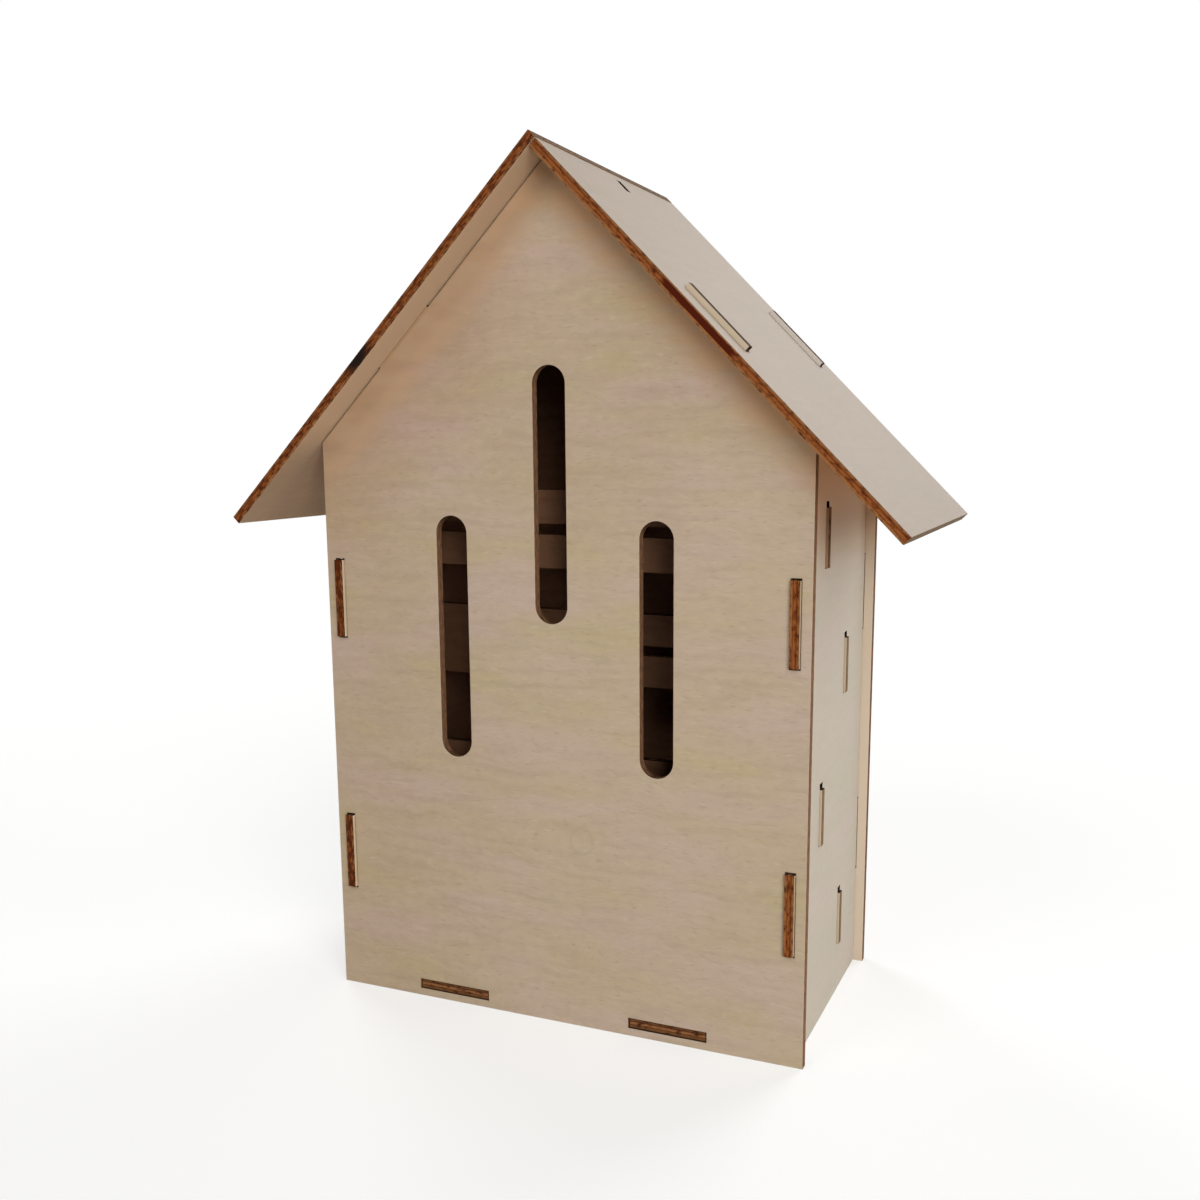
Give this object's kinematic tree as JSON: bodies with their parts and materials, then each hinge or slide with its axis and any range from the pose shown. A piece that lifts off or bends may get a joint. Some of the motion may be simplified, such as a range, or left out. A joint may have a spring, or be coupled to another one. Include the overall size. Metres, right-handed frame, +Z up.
{
  "type": "butterfly house",
  "caption": "Gabled plywood butterfly house with tall round-ended entrances, slit boards inside and a lapped ridge roof, joined by tabs in slots.",
  "frame": {"origin": "on the ground under the middle of the object's box", "axes": "+Z up, the front with the three entrances faces -Y, +X is to the right of someone who looks at the front"},
  "size_m": [0.2026, 0.098, 0.249],
  "materials": {
    "front_veneer": "unfinished laser-cut plywood, charred edges",
    "wall_veneer": "unfinished laser-cut plywood, charred edges",
    "roof_veneer": "unfinished laser-cut plywood, charred edges",
    "inner_veneer": "unfinished laser-cut plywood, charred edges"
  },
  "bodies": {
    "root": {"front_panel": "front_veneer", "back_panel": "front_veneer", "left_side_panel": "wall_veneer", "right_side_panel": "wall_veneer", "floor_panel": "front_veneer", "slit_board_1": "inner_veneer", "slit_board_2": "inner_veneer", "slit_board_3": "inner_veneer", "slit_board_4": "inner_veneer", "left_roof_panel": "roof_veneer", "right_roof_panel": "roof_veneer"}
  },
  "joints": []
}
